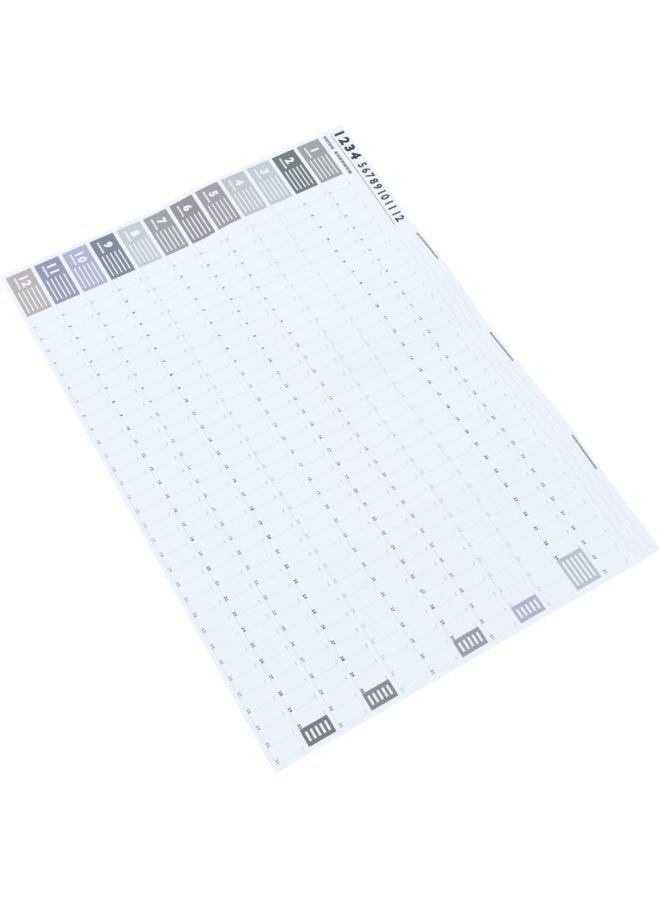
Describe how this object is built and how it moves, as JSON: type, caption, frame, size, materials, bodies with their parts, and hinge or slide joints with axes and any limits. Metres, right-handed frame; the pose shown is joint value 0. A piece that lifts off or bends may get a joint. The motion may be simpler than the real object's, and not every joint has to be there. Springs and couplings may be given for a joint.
{
  "type": "wall calendar",
  "caption": "Large paper year calendar, once folded and now opened out flat, with a coloured block for each month and a row of days beside it.",
  "frame": {"origin": "middle of the sheet's outline, on the table that it lies on", "axes": "+X along the rows of days towards the end of the month, +Y towards the heading, +Z out of the printed face"},
  "size_m": [0.74, 0.52, 0.0132],
  "materials": {
    "paper": "matte",
    "month_ink_01": "matte",
    "month_ink_02": "matte",
    "month_ink_03": "matte",
    "month_ink_04": "matte",
    "month_ink_05": "matte",
    "month_ink_06": "matte",
    "month_ink_07": "matte",
    "month_ink_08": "matte",
    "month_ink_09": "matte",
    "month_ink_10": "matte",
    "month_ink_11": "matte",
    "month_ink_12": "matte",
    "panel_ink_02": "matte",
    "panel_ink_04": "matte",
    "panel_ink_06": "matte",
    "panel_ink_09": "matte",
    "panel_ink_11": "matte",
    "heading_bold_ink": "matte",
    "heading_light_ink": "matte",
    "heading_rule_ink": "matte",
    "subtitle_bars_ink": "matte",
    "column_headings_ink": "matte",
    "column_rules_ink": "matte",
    "row_rules_ink": "matte"
  },
  "bodies": {
    "root": {"paper_sheet": "paper", "month_block_01": "month_ink_01", "day_marks_01": "month_ink_01", "month_block_02": "month_ink_02", "day_marks_02": "month_ink_02", "month_block_03": "month_ink_03", "day_marks_03": "month_ink_03", "month_block_04": "month_ink_04", "day_marks_04": "month_ink_04", "month_block_05": "month_ink_05", "day_marks_05": "month_ink_05", "month_block_06": "month_ink_06", "day_marks_06": "month_ink_06", "month_block_07": "month_ink_07", "day_marks_07": "month_ink_07", "month_block_08": "month_ink_08", "day_marks_08": "month_ink_08", "month_block_09": "month_ink_09", "day_marks_09": "month_ink_09", "month_block_10": "month_ink_10", "day_marks_10": "month_ink_10", "month_block_11": "month_ink_11", "day_marks_11": "month_ink_11", "month_block_12": "month_ink_12", "day_marks_12": "month_ink_12", "end_panel_02": "panel_ink_02", "end_panel_04": "panel_ink_04", "end_panel_06": "panel_ink_06", "end_panel_09": "panel_ink_09", "end_panel_11": "panel_ink_11", "heading_bold": "heading_bold_ink", "heading_light": "heading_light_ink", "heading_rule": "heading_rule_ink", "subtitle_bars": "subtitle_bars_ink", "column_headings": "column_headings_ink", "column_rules": "column_rules_ink", "row_rules": "row_rules_ink"}
  },
  "joints": []
}
